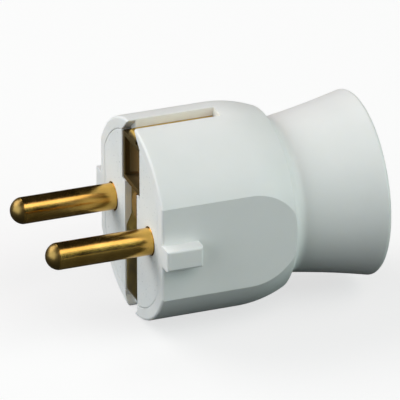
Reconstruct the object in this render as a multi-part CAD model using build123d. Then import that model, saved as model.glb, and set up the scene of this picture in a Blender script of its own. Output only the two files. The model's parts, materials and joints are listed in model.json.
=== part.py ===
from build123d import *
import math
import os

# Two-pole plug with earth, of the kind that is wired with screws, in millimetres.
# X runs from the pin face (X = 0) to the rear of the grip, and the pins point to -X.
# Y runs across the two pins, and Z runs up to the earth receptacle.

# Contact pins
PIN_DIAMETER = 4.8
PIN_LENGTH = 19.0
PIN_SPACING = 19.0
PIN_DOME_HEIGHT = 2.0
PIN_ROOT_DIAMETER = 5.2

# Outside of the housing
BODY_DIAMETER = 36.3
BODY_LENGTH = 16.4
FLATS_WIDTH = 31.8
SHOULDER_RADIUS = 20.0
SHOULDER_LENGTH = 8.35
CREST_ROUNDING = 0.4
REAR_SLOPE_LENGTH = 1.8
NECK_DIAMETER = 27.5
NECK_FILLET = 1.9
FLARE_HOLLOW = 0.2
RIM_DIAMETER = 33.6
HOUSING_LENGTH = 42.5
RIM_ROUNDING = 0.6
INNER_RIM_ROUNDING = 0.5
FACE_EDGE_ROUNDING = 0.5
WALL = 2.2

# Guide lugs on the flats
LUG_LENGTH = 6.7
LUG_HEIGHT = 3.9
LUG_PROJECTION = 2.6
LUG_EDGE_ROUNDING = 0.45

# Bulkhead with the cord inlet, inside the bell of the grip
BULKHEAD_X = 30.0
BULKHEAD_THICKNESS = 2.0
CORD_INLET_DIAMETER = 10.0
INLET_ROUNDING = 0.5

# Earth grooves in the top and bottom of the housing, and the slot of the earth strap
GROOVE_WIDTH = 3.65
GROOVE_MARGIN = 0.4
LEAD_IN_DEPTH = 1.6
LEAD_IN_LAND = 0.2
STRAP_SLOT_WIDTH = 6.15
EARTH_CONTACT_DEPTH = 1.65
ARM_END_GAP = 0.2

# Pin carrier, the insert that fills the front of the housing
CARRIER_THICKNESS = 6.0
CARRIER_CLEARANCE = 0.06
CARRIER_EDGE_ROUNDING = 0.2
BARRIER_GAP = 0.1
BARRIER_THICKNESS = 0.9
BARRIER_LENGTH = 10.6
BARRIER_TOP = 9.0
BARRIER_BOTTOM = -6.5
RIB_WIDTH = 4.4
FLOOR_WIDTH = 15.8
FLOOR_BOTTOM = -11.0
FLOOR_THICKNESS = 2.2

# Terminals at the inner ends of the pins
BARREL_DIAMETER = 7.6
BARREL_LENGTH = 10.0
BARREL_CHAMFER = 0.5
BARREL_CLEARANCE = 0.4
WIRE_HOLE_DIAMETER = 3.4
WIRE_HOLE_DEPTH = 8.5
TERMINAL_SCREW_INSET = 4.0
TERMINAL_SCREW_DIAMETER = 3.4
TERMINAL_HEAD_DIAMETER = 5.2
TERMINAL_HEAD_HEIGHT = 2.0
TERMINAL_SCREW_LIFT = 0.6

# Earth strap: bottom contact, strip in the face, step back and tongue
STRAP_THICKNESS = 1.0
STRAP_FACE_DEPTH = 0.25
STRAP_BEND_RADIUS = 1.4
STRAP_STEP_DEPTH = 0.95
STRAP_STEP_BOTTOM = -2.8
STRAP_STEP_TOP = -0.6
STRAP_STEP_RADIUS = 1.0
TONGUE_BEND_RADIUS = 0.8

# Earth receptacle: folded box with two spring leaves and the top contact
RECEPTACLE_WIDTH = 9.0
RECEPTACLE_BOTTOM = 5.95
RECEPTACLE_CLEARANCE = 0.2
RECEPTACLE_SETBACK = 0.8
SHEET_THICKNESS = 0.8
LEAF_THICKNESS = 0.5
LEAF_END_GAP = 0.55
LEAF_GAP = 4.6
LEAF_INSET = 1.0

# Earth terminal block behind the receptacle
EARTH_BLOCK_LENGTH = 6.8
EARTH_BLOCK_WIDTH = 6.8
EARTH_SCREW_ROOM = 4.0
EARTH_BLOCK_EDGE = 0.4
EARTH_BLOCK_GAP = 0.3
EARTH_WIRE_HEIGHT = 2.4
EARTH_WIRE_DEPTH = 5.5

# Assembly screw in the face, and the boss of the housing that takes it
SCREW_HEIGHT = 1.8
SCREW_DIAMETER = 2.9
SCREW_HEAD_DIAMETER = 5.6
SCREW_LENGTH = 16.0
SCREW_SLOT = 0.9
BOSS_DIAMETER = 5.8
BOSS_END = 21.0
BOSS_WEB_LENGTH = 4.0
BOSS_WEB_THICKNESS = 2.4
PILOT_DEPTH_PAST_TIP = 1.0

# Cord clamp on the floor of the carrier
CLAMP_GAP = 0.4
CLAMP_LENGTH = 3.8
CLAMP_HEIGHT = -5.8
CLAMP_EAR_THICKNESS = 2.4
CLAMP_ARCH_THICKNESS = 1.6
CORD_SEAT_RADIUS = 2.9
CLAMP_SCREW_SPACING = 11.8
CLAMP_SCREW_DIAMETER = 3.0
CLAMP_SCREW_LENGTH = 6.4
CLAMP_HEAD_DIAMETER = 4.0
CLAMP_HEAD_HEIGHT = 2.0

# Clearances, screw slots and the overshoot of cuts
FIT = 0.05
SCREW_FIT = 0.05
SLOT_WIDTH = 0.8
SLOT_DEPTH = 0.8
OVER = 1.0

# Sizes that follow from the driving dimensions
BODY_RADIUS = BODY_DIAMETER / 2
CREST_X = BODY_LENGTH + SHOULDER_LENGTH
NECK_X = CREST_X + REAR_SLOPE_LENGTH
NECK_RADIUS = NECK_DIAMETER / 2
RIM_RADIUS = RIM_DIAMETER / 2
PIN_RADIUS = PIN_DIAMETER / 2
PIN_ROOT_RADIUS = PIN_ROOT_DIAMETER / 2
PIN_Y = PIN_SPACING / 2
INNER_RADIUS = BODY_RADIUS - WALL
INNER_HALF_WIDTH = PIN_Y + BARREL_DIAMETER / 2 + BARREL_CLEARANCE
BARREL_END = CARRIER_THICKNESS + BARREL_LENGTH
GROOVE_LENGTH = BODY_LENGTH - GROOVE_MARGIN
EARTH_RADIUS = BODY_RADIUS - EARTH_CONTACT_DEPTH
STRAP_WIDTH = STRAP_SLOT_WIDTH - 2 * FIT
STRAP_CENTRE_X = STRAP_FACE_DEPTH + STRAP_THICKNESS / 2
STEP_CENTRE_X = STRAP_CENTRE_X + STRAP_STEP_DEPTH
STEP_FACE_X = STRAP_FACE_DEPTH + STRAP_STEP_DEPTH
TONGUE_TOP = RECEPTACLE_BOTTOM - FIT
TONGUE_CENTRE_Z = TONGUE_TOP - STRAP_THICKNESS / 2
ARM_END = GROOVE_LENGTH - ARM_END_GAP
RECEPTACLE_TOP = math.sqrt(INNER_RADIUS ** 2 - (RECEPTACLE_WIDTH / 2) ** 2) - RECEPTACLE_CLEARANCE
RECEPTACLE_END = GROOVE_LENGTH - RECEPTACLE_SETBACK
LEAF_HEIGHT = RECEPTACLE_TOP - RECEPTACLE_BOTTOM - 2 * (SHEET_THICKNESS + LEAF_END_GAP)
EARTH_BLOCK_X = RECEPTACLE_END + EARTH_BLOCK_GAP
EARTH_BLOCK_END = EARTH_BLOCK_X + EARTH_BLOCK_LENGTH
EARTH_BLOCK_TOP = INNER_RADIUS - EARTH_SCREW_ROOM
CLAMP_X = CARRIER_THICKNESS + BARRIER_LENGTH + CLAMP_GAP
FLOOR_END = CLAMP_X + CLAMP_LENGTH


def block(x0, x1, y0, y1, z0, z1):
    """Box between two corners."""
    centre = ((x0 + x1) / 2, (y0 + y1) / 2, (z0 + z1) / 2)
    return Pos(*centre) * Box(x1 - x0, y1 - y0, z1 - z0)


def rod_x(x0, x1, radius, y=0.0, z=0.0):
    """Cylinder along X between two stations."""
    rod = Cylinder(radius, x1 - x0, align=(Align.CENTER, Align.CENTER, Align.MIN))
    return Pos(x0, y, z) * Rot(0, 90, 0) * rod


def rod_z(z0, z1, radius, x=0.0, y=0.0):
    """Upright cylinder between two heights."""
    rod = Cylinder(radius, z1 - z0, align=(Align.CENTER, Align.CENTER, Align.MIN))
    return Pos(x, y, z0) * rod


def strip(path, thickness, width):
    """Flat strip of sheet metal whose centre line is given as X and Z."""
    section = Plane.XZ * trace(path, line_width=thickness)
    return extrude(section, amount=width / 2, both=True)


def outline(rounded):
    """Section of the outer form, run on past both ends and the axis by twice the wall."""
    spare = 2 * WALL
    sweep = math.degrees(math.asin(SHOULDER_LENGTH / SHOULDER_RADIUS))
    neck = (NECK_X, NECK_RADIUS)
    rim = (HOUSING_LENGTH, RIM_RADIUS)
    with BuildSketch() as section:
        with BuildLine():
            Line((-spare, BODY_RADIUS), (BODY_LENGTH, BODY_RADIUS))
            dome = CenterArc((BODY_LENGTH, BODY_RADIUS - SHOULDER_RADIUS), SHOULDER_RADIUS, 90, -sweep)
            crest = dome @ 1
            Line(crest, neck)
            flare = SagittaArc(neck, rim, -FLARE_HOLLOW)
            beyond = flare @ 1 + (flare % 1) * spare
            Polyline(rim, beyond, (beyond.X, -spare), (-spare, -spare), (-spare, BODY_RADIUS))
        make_face()
        if rounded:
            fillet(section.vertices().sort_by_distance(crest)[0], CREST_ROUNDING)
            fillet(section.vertices().sort_by_distance((*neck, 0))[0], NECK_FILLET)
    return section.sketch


def between(section, x0, x1):
    """Part of a section between two stations along X, down to the axis."""
    height = BODY_RADIUS + OVER
    return section & (Pos((x0 + x1) / 2, height / 2) * Rectangle(x1 - x0, height))


def inside(x0, x1):
    """Section of the room between two stations, with a wall of even thickness around it."""
    return between(offset(outline(rounded=False), amount=-WALL, kind=Kind.INTERSECTION), x0, x1)


def rounded_at(section, x, radius, rounding):
    """Section with the corner nearest to a station and radius rounded."""
    corner = section.vertices().sort_by_distance((x, radius, 0))[0]
    return fillet(corner, rounding)


def outer_form():
    """Body, domed shoulder, waist and hollow flared grip with its cord inlet, as one turned solid."""
    inlet_end = BULKHEAD_X + BULKHEAD_THICKNESS
    inlet_radius = CORD_INLET_DIAMETER / 2
    section = between(outline(rounded=True), 0, HOUSING_LENGTH)
    section -= inside(inlet_end, HOUSING_LENGTH + OVER)
    section -= Pos(inlet_end, 0) * Rectangle(2 * BULKHEAD_THICKNESS, CORD_INLET_DIAMETER)
    section = rounded_at(section, HOUSING_LENGTH, RIM_RADIUS, RIM_ROUNDING)
    section = rounded_at(section, HOUSING_LENGTH, RIM_RADIUS - WALL, INNER_RIM_ROUNDING)
    section = rounded_at(section, inlet_end, inlet_radius, INLET_ROUNDING)
    return revolve(section, Axis.X)


def front_cavity():
    """Room for the carrier and the wiring, as wide as the pin terminals need."""
    half = INNER_HALF_WIDTH
    room = revolve(inside(-OVER, BULKHEAD_X), Axis.X)
    return room & block(-OVER, BULKHEAD_X, -half, half, -BODY_RADIUS, BODY_RADIUS)


def guide_lug(side):
    """Small block that stands out from a flat at the pin face."""
    root = FLATS_WIDTH / 2 - OVER
    tip = FLATS_WIDTH / 2 + LUG_PROJECTION
    lug = block(0, LUG_LENGTH, root, tip, -LUG_HEIGHT / 2, LUG_HEIGHT / 2)
    outer = lug.faces().sort_by(Axis.Y)[-1]
    lug = fillet(outer.edges(), LUG_EDGE_ROUNDING)
    return lug if side > 0 else mirror(lug, Plane.XZ)


def screw_boss():
    """Boss for the assembly screw, held between the flats by a level web."""
    boss = rod_x(CARRIER_THICKNESS + CARRIER_CLEARANCE, BOSS_END, BOSS_DIAMETER / 2, z=SCREW_HEIGHT)
    half = (INNER_HALF_WIDTH + FLATS_WIDTH / 2) / 2
    low = SCREW_HEIGHT - BOSS_WEB_THICKNESS / 2
    boss += block(BOSS_END - BOSS_WEB_LENGTH, BOSS_END, -half, half, low, low + BOSS_WEB_THICKNESS)
    pilot_end = STEP_FACE_X + SCREW_LENGTH + PILOT_DEPTH_PAST_TIP
    return boss - rod_x(0, pilot_end, SCREW_DIAMETER / 2 + SCREW_FIT, z=SCREW_HEIGHT)


def lead_in(half_inside, height_inside):
    """Funnel at the pin face that guides an earth clip of the socket into the top groove."""
    half = GROOVE_WIDTH / 2
    land = math.sqrt(BODY_RADIUS ** 2 - half ** 2) - LEAD_IN_LAND
    near = [(half, BODY_RADIUS + OVER), (half, land), (half_inside, height_inside)]
    far = [(-y, z) for y, z in reversed(near)]
    section = make_face(Polyline(*near, *far, close=True))
    return Pos(-OVER, 0, 0) * extrude(Plane.YZ * section, OVER + LEAD_IN_DEPTH)


def top_groove():
    """Slot through the top wall for the top earth contact, wider at the face for the receptacle."""
    half = GROOVE_WIDTH / 2
    window = RECEPTACLE_WIDTH / 2 + FIT
    slot = block(-OVER, GROOVE_LENGTH, -half, half, INNER_RADIUS - WALL, BODY_RADIUS + OVER)
    return slot + lead_in(window, math.sqrt(INNER_RADIUS ** 2 - window ** 2))


def bottom_groove():
    """Slot through the bottom wall, with a wider pocket inside it where the earth strap lies."""
    half, half_strap = GROOVE_WIDTH / 2, STRAP_SLOT_WIDTH / 2
    inside, pocket_end = INNER_RADIUS - WALL, EARTH_RADIUS + FIT
    slot = block(-OVER, GROOVE_LENGTH, -half, half, inside, BODY_RADIUS + OVER)
    slot += block(-OVER, GROOVE_LENGTH, -half_strap, half_strap, inside, pocket_end)
    return mirror(slot + lead_in(half_strap, pocket_end), Plane.XY)


def flatted_form():
    """Outer form with a flat on each side of the body and a rounded front edge."""
    body = outer_form()
    for side in (1, -1):
        y = side * FLATS_WIDTH / 2
        y_outer = side * (BODY_RADIUS + OVER)
        body -= block(-OVER, NECK_X, min(y, y_outer), max(y, y_outer), -BODY_RADIUS, BODY_RADIUS)
    front = body.faces().sort_by(Axis.X)[0]
    return fillet(front.edges(), FACE_EDGE_ROUNDING)


def housing():
    """Sleeve with flats, lugs, shoulder and flared grip in one moulding."""
    body = flatted_form() + guide_lug(1) + guide_lug(-1) - front_cavity()
    body += screw_boss()
    return body - top_groove() - bottom_groove()


def carrier_outline():
    """Round outline with two flats, a running clearance inside the housing."""
    half = INNER_HALF_WIDTH - CARRIER_CLEARANCE
    reach = INNER_RADIUS
    disc = Plane.YZ * Circle(INNER_RADIUS - CARRIER_CLEARANCE)
    return disc & (Plane.YZ * Rectangle(2 * half, 2 * reach))


def clamp_screw_places():
    """Centres of the two cord clamp screws, as x and y."""
    x = CLAMP_X + CLAMP_LENGTH / 2
    return [(x, side * CLAMP_SCREW_SPACING / 2) for side in (1, -1)]


def pin_carrier():
    """Insert that holds the pins, with barriers, cord floor and clamp seat behind the face."""
    body = extrude(carrier_outline(), CARRIER_THICKNESS)
    front = body.faces().sort_by(Axis.X)[0]
    body = fillet(front.edges(), CARRIER_EDGE_ROUNDING)
    barrier_y = RECEPTACLE_WIDTH / 2 + BARRIER_GAP
    for side in (1, -1):
        near, far = side * barrier_y, side * (barrier_y + BARRIER_THICKNESS)
        body += block(CARRIER_THICKNESS - OVER, CARRIER_THICKNESS + BARRIER_LENGTH,
                      min(near, far), max(near, far), BARRIER_BOTTOM, BARRIER_TOP)
    half = FLOOR_WIDTH / 2
    body += block(CARRIER_THICKNESS - OVER, FLOOR_END, -half, half,
                  FLOOR_BOTTOM, FLOOR_BOTTOM + FLOOR_THICKNESS)
    body += block(CLAMP_X, FLOOR_END, -half, half, FLOOR_BOTTOM, CLAMP_HEIGHT)
    arm_top = -(EARTH_RADIUS - STRAP_THICKNESS - FIT)
    rib = RIB_WIDTH / 2
    body += block(CARRIER_THICKNESS - OVER, ARM_END, -rib, rib, arm_top, FLOOR_BOTTOM + OVER)
    body -= rod_x(CLAMP_X - OVER, FLOOR_END + OVER, CORD_SEAT_RADIUS, z=CLAMP_HEIGHT)
    clamp_hole = CLAMP_SCREW_DIAMETER / 2 + SCREW_FIT
    for x, y in clamp_screw_places():
        body -= rod_z(FLOOR_BOTTOM - OVER, CLAMP_HEIGHT + OVER, clamp_hole, x, y)
    return body - carrier_cuts(arm_top)


def carrier_cuts(arm_top):
    """Openings of the face: pin holes, strap recess, receptacle window and screw hole."""
    through = CARRIER_THICKNESS + OVER
    half_slot = STRAP_SLOT_WIDTH / 2
    strap_back = STRAP_FACE_DEPTH + STRAP_THICKNESS + FIT
    step_back = strap_back + STRAP_STEP_DEPTH
    window = RECEPTACLE_WIDTH / 2 + FIT
    cuts = block(-OVER, through, -window, window, TONGUE_TOP, BODY_RADIUS)
    cuts += block(-OVER, strap_back, -half_slot, half_slot, -BODY_RADIUS, TONGUE_TOP)
    step_low = STRAP_STEP_BOTTOM - STRAP_STEP_RADIUS
    cuts += block(-OVER, step_back, -half_slot, half_slot, step_low, TONGUE_TOP + FIT)
    tongue_low = TONGUE_TOP - STRAP_THICKNESS - FIT
    cuts += block(-OVER, through, -half_slot, half_slot, tongue_low, TONGUE_TOP + FIT)
    cuts += block(-OVER, through, -half_slot, half_slot, -BODY_RADIUS, arm_top)
    cuts += bend_relief(0, -EARTH_RADIUS, strap_back + STRAP_BEND_RADIUS - STRAP_THICKNESS / 2)
    tongue_inside = TONGUE_BEND_RADIUS - STRAP_THICKNESS / 2
    cuts += bend_relief(step_back, tongue_low - tongue_inside, tongue_inside)
    for side in (1, -1):
        cuts += rod_x(-OVER, through, PIN_ROOT_RADIUS + FIT, y=side * PIN_Y)
    neck_of_head = SCREW_HEAD_DIAMETER / 2 - STRAP_THICKNESS
    cuts += rod_x(0, through, neck_of_head + FIT, z=SCREW_HEIGHT)
    return cuts


def bend_relief(x, z, size):
    """Square relief in the carrier that clears the inside of a bend in the strap."""
    half_slot = STRAP_SLOT_WIDTH / 2
    return block(x, x + size, -half_slot, half_slot, z, z + size)


def contact_pin(side):
    """Round pin with a domed tip, a thicker root in the carrier and a terminal barrel behind it."""
    barrel = BARREL_DIAMETER / 2
    dome_base = PIN_DOME_HEIGHT - PIN_LENGTH
    with BuildSketch() as section:
        with BuildLine():
            TangentArc((-PIN_LENGTH, 0), (dome_base, PIN_RADIUS), tangent=(0, 1))
            Polyline((dome_base, PIN_RADIUS), (0, PIN_RADIUS), (0, PIN_ROOT_RADIUS),
                     (CARRIER_THICKNESS, PIN_ROOT_RADIUS), (CARRIER_THICKNESS, barrel),
                     (BARREL_END - BARREL_CHAMFER, barrel), (BARREL_END, barrel - BARREL_CHAMFER),
                     (BARREL_END, 0), (-PIN_LENGTH, 0))
        make_face()
    pin = revolve(section.sketch, Axis.X)
    pin -= rod_x(BARREL_END - WIRE_HOLE_DEPTH, BARREL_END + OVER, WIRE_HOLE_DIAMETER / 2)
    screw_x = BARREL_END - TERMINAL_SCREW_INSET
    pin -= rod_z(0, barrel + OVER, TERMINAL_SCREW_DIAMETER / 2 + SCREW_FIT, screw_x)
    return Pos(0, side * PIN_Y, 0) * pin


def slotted_screw(diameter, shank, head_diameter, head_height):
    """Cheese-head screw that points down, with the underside of its head at the origin."""
    screw = rod_z(-shank, 0, diameter / 2) + rod_z(0, head_height, head_diameter / 2)
    reach = head_diameter
    half = SLOT_WIDTH / 2
    return screw - block(-reach, reach, -half, half, head_height - SLOT_DEPTH, head_height + OVER)


def terminal_screw(side):
    """Screw that presses the wire in the barrel of a pin."""
    under_head = BARREL_DIAMETER / 2 + TERMINAL_SCREW_LIFT
    screw = slotted_screw(TERMINAL_SCREW_DIAMETER, under_head - TERMINAL_SCREW_LIFT / 2,
                          TERMINAL_HEAD_DIAMETER, TERMINAL_HEAD_HEIGHT)
    return Pos(BARREL_END - TERMINAL_SCREW_INSET, side * PIN_Y, under_head) * screw


def earth_strap():
    """Bent brass strip: bottom contact, face strip, step behind the screw head, and tongue."""
    arm_z = -(EARTH_RADIUS - STRAP_THICKNESS / 2)
    points = [(ARM_END, arm_z), (STRAP_CENTRE_X, arm_z), (STRAP_CENTRE_X, STRAP_STEP_BOTTOM),
              (STEP_CENTRE_X, STRAP_STEP_TOP), (STEP_CENTRE_X, TONGUE_CENTRE_Z),
              (EARTH_BLOCK_END, TONGUE_CENTRE_Z)]
    radii = [STRAP_BEND_RADIUS, STRAP_STEP_RADIUS, STRAP_STEP_RADIUS, TONGUE_BEND_RADIUS]
    path = FilletPolyline(*points, radius=radii)
    strap = strip(path, STRAP_THICKNESS, STRAP_WIDTH)
    head = SCREW_HEAD_DIAMETER / 2 + FIT
    sink = Cone(head, head - STRAP_THICKNESS, STRAP_THICKNESS,
                align=(Align.CENTER, Align.CENTER, Align.MIN))
    return strap - Pos(STEP_FACE_X, 0, SCREW_HEIGHT) * Rot(0, 90, 0) * sink


def spring_leaf(side):
    """Bowed leaf that grips the earth pin of a socket from one side."""
    wall_y = RECEPTACLE_WIDTH / 2 - SHEET_THICKNESS
    near_y = LEAF_GAP / 2 + LEAF_THICKNESS / 2
    front_x = STRAP_FACE_DEPTH + LEAF_INSET
    back_x = RECEPTACLE_END - LEAF_INSET
    middle_x = (front_x + back_x) / 2
    bow = ThreePointArc((front_x, wall_y), (middle_x, near_y), (back_x, wall_y))
    leaf = extrude(trace(bow, line_width=LEAF_THICKNESS), amount=LEAF_HEIGHT / 2, both=True)
    leaf = Pos(0, 0, (RECEPTACLE_BOTTOM + RECEPTACLE_TOP) / 2) * leaf
    return leaf if side > 0 else mirror(leaf, Plane.XZ)


def earth_receptacle():
    """Folded brass box for the earth pin of a socket, hemmed back into the top contact."""
    half = RECEPTACLE_WIDTH / 2
    front, back = STRAP_FACE_DEPTH, RECEPTACLE_END
    box = block(front, back, -half, half, RECEPTACLE_BOTTOM, RECEPTACLE_TOP)
    sheet = SHEET_THICKNESS
    box -= block(front - OVER, back + OVER, sheet - half, half - sheet, RECEPTACLE_BOTTOM + sheet,
                 RECEPTACLE_TOP - sheet)
    box += spring_leaf(1) + spring_leaf(-1)
    wall_z = RECEPTACLE_TOP - sheet / 2
    arm_z = EARTH_RADIUS - sheet / 2
    hem = (arm_z - wall_z) / 2
    fold_x = front + sheet / 2 + hem
    with BuildLine() as path:
        Line((fold_x + OVER, wall_z), (fold_x, wall_z))
        CenterArc((fold_x, wall_z + hem), hem, 270, -180)
        Line((fold_x, arm_z), (ARM_END, arm_z))
    return box + strip(path.line, sheet, GROOVE_WIDTH - 2 * FIT)


def earth_terminal():
    """Block on the tongue of the strap that takes the earth wire."""
    half = EARTH_BLOCK_WIDTH / 2
    body = block(EARTH_BLOCK_X, EARTH_BLOCK_END, -half, half, TONGUE_TOP, EARTH_BLOCK_TOP)
    body = chamfer(body.edges().filter_by(Axis.X), EARTH_BLOCK_EDGE)
    wire_z = TONGUE_TOP + EARTH_WIRE_HEIGHT
    body -= rod_x(EARTH_BLOCK_END - EARTH_WIRE_DEPTH, EARTH_BLOCK_END + OVER,
                  WIRE_HOLE_DIAMETER / 2, z=wire_z)
    screw_x = EARTH_BLOCK_X + EARTH_BLOCK_LENGTH / 2
    return body - rod_z(wire_z, EARTH_BLOCK_TOP + OVER, TERMINAL_SCREW_DIAMETER / 2 + SCREW_FIT, screw_x)


def earth_terminal_screw():
    """Screw that presses the earth wire in its block."""
    under_head = EARTH_BLOCK_TOP + TERMINAL_SCREW_LIFT
    shank = under_head - TONGUE_TOP - EARTH_WIRE_HEIGHT
    screw = slotted_screw(TERMINAL_SCREW_DIAMETER, shank, TERMINAL_HEAD_DIAMETER, TERMINAL_HEAD_HEIGHT)
    return Pos(EARTH_BLOCK_X + EARTH_BLOCK_LENGTH / 2, 0, under_head) * screw


def assembly_screw():
    """Countersunk screw that draws the carrier and the strap onto the boss of the housing."""
    head, shank = SCREW_HEAD_DIAMETER / 2, SCREW_DIAMETER / 2
    cone_end = STEP_FACE_X + head - shank
    tip = STEP_FACE_X + SCREW_LENGTH
    with BuildSketch() as section:
        with BuildLine():
            Polyline((STEP_FACE_X, 0), (STEP_FACE_X, head), (cone_end, shank), (tip - shank / 2, shank),
                     (tip, shank / 2), (tip, 0), close=True)
        make_face()
    screw = revolve(section.sketch, Axis.X)
    slot = SCREW_SLOT / 2
    screw -= block(STEP_FACE_X - OVER, STEP_FACE_X + SCREW_SLOT, -slot, slot, -head, head)
    return Pos(0, 0, SCREW_HEIGHT) * screw


def cord_clamp_bar():
    """Arched bar that presses the cord onto the floor of the carrier."""
    half = FLOOR_WIDTH / 2
    ears = block(CLAMP_X, FLOOR_END, -half, half, CLAMP_HEIGHT, CLAMP_HEIGHT + CLAMP_EAR_THICKNESS)
    arch = rod_x(CLAMP_X, FLOOR_END, CORD_SEAT_RADIUS + CLAMP_ARCH_THICKNESS, z=CLAMP_HEIGHT)
    arch &= block(CLAMP_X, FLOOR_END, -half, half, CLAMP_HEIGHT, BODY_RADIUS)
    bar = ears + arch - rod_x(CLAMP_X - OVER, FLOOR_END + OVER, CORD_SEAT_RADIUS, z=CLAMP_HEIGHT)
    clamp_hole = CLAMP_SCREW_DIAMETER / 2 + SCREW_FIT
    for x, y in clamp_screw_places():
        bar -= rod_z(CLAMP_HEIGHT - OVER, CLAMP_HEIGHT + BODY_RADIUS, clamp_hole, x, y)
    return bar


def cord_clamp_screw(place):
    """Screw at one end of the clamp bar."""
    screw = slotted_screw(CLAMP_SCREW_DIAMETER, CLAMP_SCREW_LENGTH,
                          CLAMP_HEAD_DIAMETER, CLAMP_HEAD_HEIGHT)
    return Pos(*place, CLAMP_HEIGHT + CLAMP_EAR_THICKNESS) * screw


def all_parts():
    """Every piece of the plug by its name."""
    far_place, near_place = clamp_screw_places()
    return {
        "housing": housing(),
        "pin_carrier": pin_carrier(),
        "line_pin": contact_pin(-1),
        "neutral_pin": contact_pin(1),
        "line_terminal_screw": terminal_screw(-1),
        "neutral_terminal_screw": terminal_screw(1),
        "earth_strap": earth_strap(),
        "earth_receptacle": earth_receptacle(),
        "earth_terminal": earth_terminal(),
        "earth_terminal_screw": earth_terminal_screw(),
        "assembly_screw": assembly_screw(),
        "cord_clamp_bar": cord_clamp_bar(),
        "cord_clamp_screw_near": cord_clamp_screw(near_place),
        "cord_clamp_screw_far": cord_clamp_screw(far_place),
    }


os.makedirs("parts", exist_ok=True)
for name, solid in all_parts().items():
    export_step(solid, f"parts/{name}.step")
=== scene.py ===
import json
import math

import bpy
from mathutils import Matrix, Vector


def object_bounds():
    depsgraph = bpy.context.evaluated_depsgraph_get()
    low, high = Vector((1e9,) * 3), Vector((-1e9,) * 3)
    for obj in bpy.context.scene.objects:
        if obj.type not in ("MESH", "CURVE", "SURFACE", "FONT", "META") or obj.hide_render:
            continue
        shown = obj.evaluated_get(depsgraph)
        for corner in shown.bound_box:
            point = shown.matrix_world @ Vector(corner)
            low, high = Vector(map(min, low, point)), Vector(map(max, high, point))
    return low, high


# Looks of a white mains plug with brass pins. Lengths are in metres, in the frame of the CAD model:
# X = 0 is the pin face, the pins point to -X, and Z is up.

MILLIMETRE = 0.001

# Camera, fitted to the pins, the lug and the rims in the photograph.
# Lens and sensor are in millimetres, as Blender takes them.
CAMERA_AZIMUTH = -20.35
CAMERA_ELEVATION = 26.14
CAMERA_DISTANCE = 1.0
CAMERA_LENS = 515.3
CAMERA_SENSOR = 36.0
AIM_RIGHT = 12.06 * MILLIMETRE
AIM_UP = 3.2 * MILLIMETRE

# Colours, linear
PLASTIC_WHITE = (0.835, 0.83, 0.82, 1)
PLASTIC_SHADE = (0.795, 0.795, 0.78, 1)
CARRIER_WHITE = (0.83, 0.835, 0.825, 1)
CARRIER_SHADE = (0.78, 0.79, 0.78, 1)
CARRIER_DUST = (0.42, 0.43, 0.42, 1)
BRASS_GOLD = (0.80, 0.50, 0.13, 1)
BRASS_TARNISH = (0.60, 0.35, 0.07, 1)
# Painted shade: the colour of the domed tips, darker than the brass, stands in for their dark
# reflections.
PAINTED_SHADE_TIP_BRASS = (0.26, 0.17, 0.053, 1)
OLD_BRASS = (0.44, 0.32, 0.08, 1)
OLD_BRASS_STAIN = (0.25, 0.18, 0.045, 1)
RUBBED_BRASS = (0.62, 0.42, 0.10, 1)
# Receptacle brass: painted shade at its mouth, with stains, and painted light further in.
PAINTED_SHADE_MOUTH_BRASS = (0.19, 0.14, 0.06, 1)
PAINTED_SHADE_MOUTH_STAIN = (0.14, 0.10, 0.04, 1)
PAINTED_LIGHT_INNER_BRASS = (0.80, 0.60, 0.32, 1)
ZINC_LIGHT = (0.66, 0.67, 0.68, 1)
ZINC_DARK = (0.46, 0.47, 0.49, 1)
FLOOR_PALE = (0.36, 0.36, 0.36, 1)
FLOOR_SHADE = (0.353, 0.353, 0.353, 1)
CARD_GREY = (0.04, 0.042, 0.042, 1)
WHITE = (1, 1, 1, 1)

# Roughness, from the smoothest patches to the dullest
HOUSING_ROUGHNESS = (0.44, 0.56)
CARRIER_ROUGHNESS = (0.42, 0.55)
TURNED_ROUGHNESS = (0.18, 0.26)
SHEET_ROUGHNESS = (0.30, 0.42)
RECEPTACLE_ROUGHNESS = (0.50, 0.65)
ZINC_ROUGHNESS = (0.22, 0.40)
MATT_ROUGHNESS = 0.9

# Light in the plastic: how far it bends, and an inner glow that goes deepest in red
PLASTIC_IOR = 1.5
GLOW_WEIGHT = 0.25
GLOW_DEPTH = 1.2 * MILLIMETRE
GLOW_SHARES = (1.0, 0.9, 0.75)

# Marks in the materials
CLOUD_SIZE = 14 * MILLIMETRE
SMUDGE_SIZE = 4 * MILLIMETRE
METAL_SMUDGE_SIZE = 2 * MILLIMETRE
SPECK_SIZE = 0.5 * MILLIMETRE
GRAIN_SIZE = 0.25 * MILLIMETRE
DRAWN_LINE_SIZE = 0.12 * MILLIMETRE
DRAWN_LINE_LENGTH = 6 * MILLIMETRE
HOUSING_GRAIN_DEPTH = 0.002 * MILLIMETRE
CARRIER_GRAIN_DEPTH = 0.003 * MILLIMETRE
TURNED_LINE_DEPTH = 0.0006 * MILLIMETRE
SHEET_LINE_DEPTH = 0.0012 * MILLIMETRE
ZINC_LINE_DEPTH = 0.001 * MILLIMETRE
EDGE_RADIUS = 0.1 * MILLIMETRE
EDGE_SAMPLES = 6

# Levels of a noise: the middle of its range, and the peaks where a speck starts and is full
NOISE_LOW = 0.3
NOISE_HIGH = 0.7
SPECK_START = 0.66
SPECK_FULL = 0.74

# Worn and painted places: distance from the middle of the pin face, and what they add to the
# roughness. The tips are worn duller and carry painted shade, the contacts are rubbed, and deep in
# the receptacle is painted light.
TIP_WEAR_AND_SHADE_START = 16.8 * MILLIMETRE
TIP_WEAR_AND_SHADE_END = 17.4 * MILLIMETRE
TIP_DULLING = 0.14
CONTACT_START = 15.9 * MILLIMETRE
CONTACT_END = 16.5 * MILLIMETRE
CONTACT_DULLING = -0.06
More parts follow.
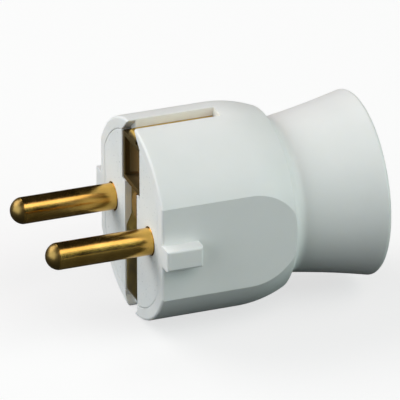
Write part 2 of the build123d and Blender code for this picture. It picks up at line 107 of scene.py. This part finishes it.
# Painted light: past these distances the receptacle's colour turns pale.
PAINTED_LIGHT_INSIDE_START = 0.6 * MILLIMETRE
PAINTED_LIGHT_INSIDE_END = 4 * MILLIMETRE
RECEPTACLE_DULLING = -0.08

# Stage
FLOOR_SIZE = 3.0
FLOOR_CLOUD_SIZE = 300 * MILLIMETRE
FLOOR_GLOW = 0.68
CARD_SIZE = 1.0
CARD_LIFT = 0.05 * MILLIMETRE
WORLD_STRENGTH = 0.01
SOFTBOX_DISTANCE = 1.2
SOFTBOX_SIZE = 0.9
BROAD_SIDE = 1.6
NARROW_SIDE = 0.5
BLUISH = (0.90, 0.98, 1.0)
GREENISH = (0.80, 1.0, 0.96)
CREAM = (1.0, 0.97, 0.96)
ROSY = (1.0, 0.89, 0.88)


def node(tree, kind, values=None, **settings):
    """New shader node with its settings and the values of its sockets."""
    made = tree.nodes.new(kind)
    for key, value in settings.items():
        setattr(made, key, value)
    for socket, value in (values or {}).items():
        made.inputs[socket].default_value = value
    return made


def shader_of(material):
    """The principled shader of a material."""
    return material.node_tree.nodes["Principled BSDF"]


def new_material(name, values):
    """Material with one principled shader, whose plain values are set on its own sockets."""
    material = bpy.data.materials.new(name)
    material.use_nodes = True
    shader = shader_of(material)
    for socket, value in values.items():
        shader.inputs[socket].default_value = value
    return material, material.node_tree, shader


def noise(tree, size, detail=2.0, stretch=(1, 1, 1)):
    """Noise in the object's own space, with marks of a given size, stretched along its axes."""
    place = node(tree, "ShaderNodeTexCoord")
    scale = tuple(1 / (size * along) for along in stretch)
    mapping = node(tree, "ShaderNodeMapping", {"Scale": scale})
    texture = node(tree, "ShaderNodeTexNoise", {"Scale": 1.0, "Detail": detail})
    tree.links.new(place.outputs["Object"], mapping.inputs["Vector"])
    tree.links.new(mapping.outputs["Vector"], texture.inputs["Vector"])
    return texture.outputs["Fac"]


def spread(tree, factor, low, high):
    """The middle of a noise's range mapped to low and high."""
    ramp = node(tree, "ShaderNodeMapRange", {
        "From Min": NOISE_LOW, "From Max": NOISE_HIGH, "To Min": low, "To Max": high})
    tree.links.new(factor, ramp.inputs["Value"])
    return ramp.outputs["Result"]


def blend_colours(tree, factor, low, high):
    """Colour between two shades, led by the middle of a noise's range."""
    ramp = node(tree, "ShaderNodeValToRGB")
    first, last = ramp.color_ramp.elements
    first.position = NOISE_LOW
    last.position = NOISE_HIGH
    first.color = low
    last.color = high
    tree.links.new(factor, ramp.inputs["Fac"])
    return ramp.outputs["Color"]


def overlay_colour(tree, shader, factor, colour):
    """Lays a colour over the shader's own, as far as the factor says."""
    mixed = node(tree, "ShaderNodeMixRGB", {"Color2": colour})
    tree.links.new(factor, mixed.inputs["Fac"])
    tree.links.new(shader.inputs["Base Color"].links[0].from_socket, mixed.inputs["Color1"])
    tree.links.new(mixed.outputs["Color"], shader.inputs["Base Color"])


def worked_surface(tree, shader, height, depth):
    """Fine relief on a surface whose sharp edges catch the light as if rounded."""
    edges = node(tree, "ShaderNodeBevel", {"Radius": EDGE_RADIUS}, samples=EDGE_SAMPLES)
    bump = node(tree, "ShaderNodeBump", {"Strength": 1.0, "Distance": depth})
    tree.links.new(edges.outputs["Normal"], bump.inputs["Normal"])
    tree.links.new(height, bump.inputs["Height"])
    tree.links.new(bump.outputs["Normal"], shader.inputs["Normal"])


def moulded_plastic(name, white, shade, roughness, grain_depth):
    """White moulded plastic: faint clouds in its colour, patchy satin gloss and a fine grain."""
    material, tree, shader = new_material(name, {
        "IOR": PLASTIC_IOR, "Subsurface Weight": GLOW_WEIGHT,
        "Subsurface Scale": GLOW_DEPTH, "Subsurface Radius": GLOW_SHARES})
    clouds = noise(tree, CLOUD_SIZE, detail=3)
    tree.links.new(blend_colours(tree, clouds, shade, white), shader.inputs["Base Color"])
    smudges = noise(tree, SMUDGE_SIZE, detail=4)
    tree.links.new(spread(tree, smudges, *roughness), shader.inputs["Roughness"])
    worked_surface(tree, shader, noise(tree, GRAIN_SIZE), grain_depth)
    return material


def add_specks(material, dust):
    """Sparse specks of dust on a plastic face."""
    tree = material.node_tree
    peaks = node(tree, "ShaderNodeMapRange", {"From Min": SPECK_START, "From Max": SPECK_FULL})
    tree.links.new(noise(tree, SPECK_SIZE), peaks.inputs["Value"])
    overlay_colour(tree, shader_of(material), peaks.outputs["Result"], dust)


def worked_metal(name, light, dark, roughness, lines, line_depth):
    """Bare metal: stained colour, smudged polish and fine drawn or turned lines."""
    material, tree, shader = new_material(name, {"Metallic": 1.0})
    stains = noise(tree, SMUDGE_SIZE, detail=5)
    tree.links.new(blend_colours(tree, stains, dark, light), shader.inputs["Base Color"])
    smudges = noise(tree, METAL_SMUDGE_SIZE, detail=4)
    tree.links.new(spread(tree, smudges, *roughness), shader.inputs["Roughness"])
    worked_surface(tree, shader, lines(tree), line_depth)
    return material


def beyond(tree, axis, start, end):
    """Nought near the middle of the pin face and one past a distance from it along an axis."""
    place = node(tree, "ShaderNodeTexCoord")
    split = node(tree, "ShaderNodeSeparateXYZ")
    distance = node(tree, "ShaderNodeMath", operation="ABSOLUTE")
    step = node(tree, "ShaderNodeMapRange", {"From Min": start, "From Max": end},
                interpolation_type="SMOOTHSTEP")
    tree.links.new(place.outputs["Object"], split.inputs["Vector"])
    tree.links.new(split.outputs[axis], distance.inputs[0])
    tree.links.new(distance.outputs["Value"], step.inputs["Value"])
    return step.outputs["Result"]


def recolour_beyond(material, axis, start, end, far_colour, dulling=0.0):
    """Changes a metal's colour and roughness beyond a distance along an axis, for wear, painted
    shade and painted light.
    """
    tree = material.node_tree
    shader = shader_of(material)
    far_part = beyond(tree, axis, start, end)
    overlay_colour(tree, shader, far_part, far_colour)
    roughness = node(tree, "ShaderNodeMath", {1: dulling}, operation="MULTIPLY_ADD")
    tree.links.new(far_part, roughness.inputs[0])
    tree.links.new(shader.inputs["Roughness"].links[0].from_socket, roughness.inputs[2])
    tree.links.new(roughness.outputs["Value"], shader.inputs["Roughness"])


def turned_rings(tree):
    """Fine rings round X, as a lathe leaves them."""
    long = DRAWN_LINE_LENGTH / DRAWN_LINE_SIZE
    return noise(tree, DRAWN_LINE_SIZE, stretch=(1, long, long))


def drawn_lines(tree):
    """Fine lines along Z, as rolling and drawing leave them on sheet."""
    long = DRAWN_LINE_LENGTH / DRAWN_LINE_SIZE
    return noise(tree, DRAWN_LINE_SIZE, stretch=(1, 1, long))


def carrier_plastic():
    """White plastic with dust on it."""
    plastic = moulded_plastic("Carrier plastic", CARRIER_WHITE, CARRIER_SHADE,
                              CARRIER_ROUGHNESS, CARRIER_GRAIN_DEPTH)
    add_specks(plastic, CARRIER_DUST)
    return plastic


def turned_brass():
    """Brass of the pins, duller on their domed tips, which carry painted shade in their colour."""
    brass = worked_metal("Turned brass", BRASS_GOLD, BRASS_TARNISH,
                         TURNED_ROUGHNESS, turned_rings, TURNED_LINE_DEPTH)
    # The tips' darker colour is painted shade; their added roughness is wear.
    recolour_beyond(brass, "X", TIP_WEAR_AND_SHADE_START, TIP_WEAR_AND_SHADE_END, PAINTED_SHADE_TIP_BRASS, TIP_DULLING)
    return brass


def sheet_brass():
    """Old sheet brass, rubbed bright on the earth contact."""
    brass = worked_metal("Sheet brass", OLD_BRASS, OLD_BRASS_STAIN,
                         SHEET_ROUGHNESS, drawn_lines, SHEET_LINE_DEPTH)
    recolour_beyond(brass, "Z", CONTACT_START, CONTACT_END, RUBBED_BRASS, CONTACT_DULLING)
    return brass


def receptacle_brass():
    """Dull sheet brass with painted shade at the mouth and painted light inside, rubbed bright on
    the earth contact.
    """
    brass = worked_metal("Sheet brass with painted shade and light", PAINTED_SHADE_MOUTH_BRASS, PAINTED_SHADE_MOUTH_STAIN,
                         RECEPTACLE_ROUGHNESS, drawn_lines, SHEET_LINE_DEPTH)
    # Painted shade at the mouth gives way to painted light deeper in.
    recolour_beyond(brass, "X", PAINTED_LIGHT_INSIDE_START, PAINTED_LIGHT_INSIDE_END, PAINTED_LIGHT_INNER_BRASS)
    recolour_beyond(brass, "Z", CONTACT_START, CONTACT_END, RUBBED_BRASS, RECEPTACLE_DULLING)
    return brass


def all_materials():
    """Materials by record slot, and by node where a piece has one of its own."""
    turned = turned_brass()
    return {
        "white_plastic": moulded_plastic("White plastic", PLASTIC_WHITE, PLASTIC_SHADE,
                                         HOUSING_ROUGHNESS, HOUSING_GRAIN_DEPTH),
        "carrier_plastic": carrier_plastic(),
        "brass": sheet_brass(),
        "screw_steel": worked_metal("Zinc plate", ZINC_LIGHT, ZINC_DARK,
                                    ZINC_ROUGHNESS, drawn_lines, ZINC_LINE_DEPTH),
        "line_pin": turned,
        "neutral_pin": turned,
        "assembly_screw": turned,
        "earth_receptacle": receptacle_brass(),
    }


def paint(frame, materials):
    """Gives each CAD node the material of its slot or, where one is named for it, its own."""
    for part in frame["record"]["subparts"]:
        piece = frame["nodes"][part["node"]]
        material = materials.get(part["node"], materials[part["material_slot"]])
        for place in piece.material_slots:
            place.material = material


def direction(azimuth, elevation):
    """Unit vector towards a viewer or lamp; azimuth 0 stands at -Y and 90 at +X."""
    a, e = math.radians(azimuth), math.radians(elevation)
    return Vector((math.sin(a) * math.cos(e), -math.cos(a) * math.cos(e), math.sin(e)))


def add_camera():
    """Camera at the photograph's angle, aimed so that the plug lies where it does there."""
    back = direction(CAMERA_AZIMUTH, CAMERA_ELEVATION)
    turn = (-back).to_track_quat("-Z", "Y")
    lens = bpy.data.cameras.new("Camera")
    lens.lens = CAMERA_LENS
    lens.sensor_width = CAMERA_SENSOR
    camera = bpy.data.objects.new("Camera", lens)
    camera.rotation_mode = "QUATERNION"
    camera.rotation_quaternion = turn
    camera.location = back * CAMERA_DISTANCE + turn @ Vector((AIM_RIGHT, AIM_UP, 0))
    bpy.context.scene.collection.objects.link(camera)
    bpy.context.scene.camera = camera


def softbox(name, azimuth, elevation, power, colour, width=SOFTBOX_SIZE, height=SOFTBOX_SIZE):
    """Soft rectangular lamp that faces the plug."""
    lamp = bpy.data.lights.new(name, "AREA")
    lamp.shape = "RECTANGLE"
    lamp.size = width
    lamp.size_y = height
    lamp.energy = power
    lamp.color = colour
    holder = bpy.data.objects.new(name, lamp)
    towards = direction(azimuth, elevation)
    holder.location = towards * SOFTBOX_DISTANCE
    holder.rotation_mode = "QUATERNION"
    holder.rotation_quaternion = towards.to_track_quat("Z", "Y")
    bpy.context.scene.collection.objects.link(holder)


def add_world():
    """Even, dim surroundings."""
    world = bpy.data.worlds.new("Studio")
    world.use_nodes = True
    shade = world.node_tree.nodes["Background"]
    shade.inputs["Color"].default_value = WHITE
    shade.inputs["Strength"].default_value = WORLD_STRENGTH
    bpy.context.scene.world = world


def level_sheet(name, size, height, material):
    """Square level sheet of the stage."""
    half = size / 2
    sides = ((-half, -half), (half, -half), (half, half), (-half, half))
    corners = [(x, y, height) for x, y in sides]
    mesh = bpy.data.meshes.new(name)
    mesh.from_pydata(corners, [], [(0, 1, 2, 3)])
    mesh.materials.append(material)
    sheet = bpy.data.objects.new(name, mesh)
    bpy.context.scene.collection.objects.link(sheet)
    return sheet


def seen_directly(tree):
    """One for rays from the camera, from a mirror and through glass, and nought for the rest."""
    path = node(tree, "ShaderNodeLightPath")
    total = path.outputs["Is Camera Ray"]
    for kind in ("Is Glossy Ray", "Is Transmission Ray"):
        add = node(tree, "ShaderNodeMath", operation="ADD", use_clamp=True)
        tree.links.new(total, add.inputs[0])
        tree.links.new(path.outputs[kind], add.inputs[1])
        total = add.outputs["Value"]
    return total


def add_floor(height):
    """Plain pale floor under the plug, lifted towards white where it is seen."""
    material, tree, shader = new_material("Floor", {
        "Roughness": MATT_ROUGHNESS, "Emission Color": WHITE})
    clouds = noise(tree, FLOOR_CLOUD_SIZE)
    colour = blend_colours(tree, clouds, FLOOR_SHADE, FLOOR_PALE)
    glow = node(tree, "ShaderNodeMath", {1: FLOOR_GLOW}, operation="MULTIPLY")
    tree.links.new(colour, shader.inputs["Base Color"])
    tree.links.new(seen_directly(tree), glow.inputs[0])
    tree.links.new(glow.outputs["Value"], shader.inputs["Emission Strength"])
    level_sheet("Floor", FLOOR_SIZE, height, material)


def add_dark_card(height):
    """Dark card on the floor that keeps its light off the undersides; the camera sees past it."""
    values = {"Roughness": MATT_ROUGHNESS, "Base Color": CARD_GREY}
    material = new_material("Dark card", values)[0]
    card = level_sheet("Dark card", CARD_SIZE, height + CARD_LIFT, material)
    card.visible_camera = False
    card.visible_shadow = False


def add_lamps():
    """Four softboxes, with powers and tints fitted to the shades of the photograph."""
    softbox("Left softbox", azimuth=-85, elevation=15, power=19.0, colour=BLUISH,
            width=BROAD_SIDE, height=BROAD_SIDE)
    softbox("Rear left softbox", azimuth=-140, elevation=40, power=8.8, colour=CREAM)
    softbox("Right softbox", azimuth=50, elevation=24, power=8.0, colour=GREENISH)
    softbox("Front softbox", azimuth=36, elevation=57, power=5.0, colour=ROSY,
            width=BROAD_SIDE, height=NARROW_SIDE)


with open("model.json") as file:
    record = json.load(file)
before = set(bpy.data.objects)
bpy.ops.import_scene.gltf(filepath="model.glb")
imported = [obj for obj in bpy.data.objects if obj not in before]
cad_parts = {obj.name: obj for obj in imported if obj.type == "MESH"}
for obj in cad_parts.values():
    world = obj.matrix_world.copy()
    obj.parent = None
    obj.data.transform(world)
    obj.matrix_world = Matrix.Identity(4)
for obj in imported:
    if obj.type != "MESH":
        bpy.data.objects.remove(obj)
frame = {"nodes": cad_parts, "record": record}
cad_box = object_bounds()
paint(frame, all_materials())
add_camera()
add_world()
add_floor(cad_box[0].z)
add_dark_card(cad_box[0].z)
add_lamps()
bpy.context.scene.view_settings.view_transform = "Standard"
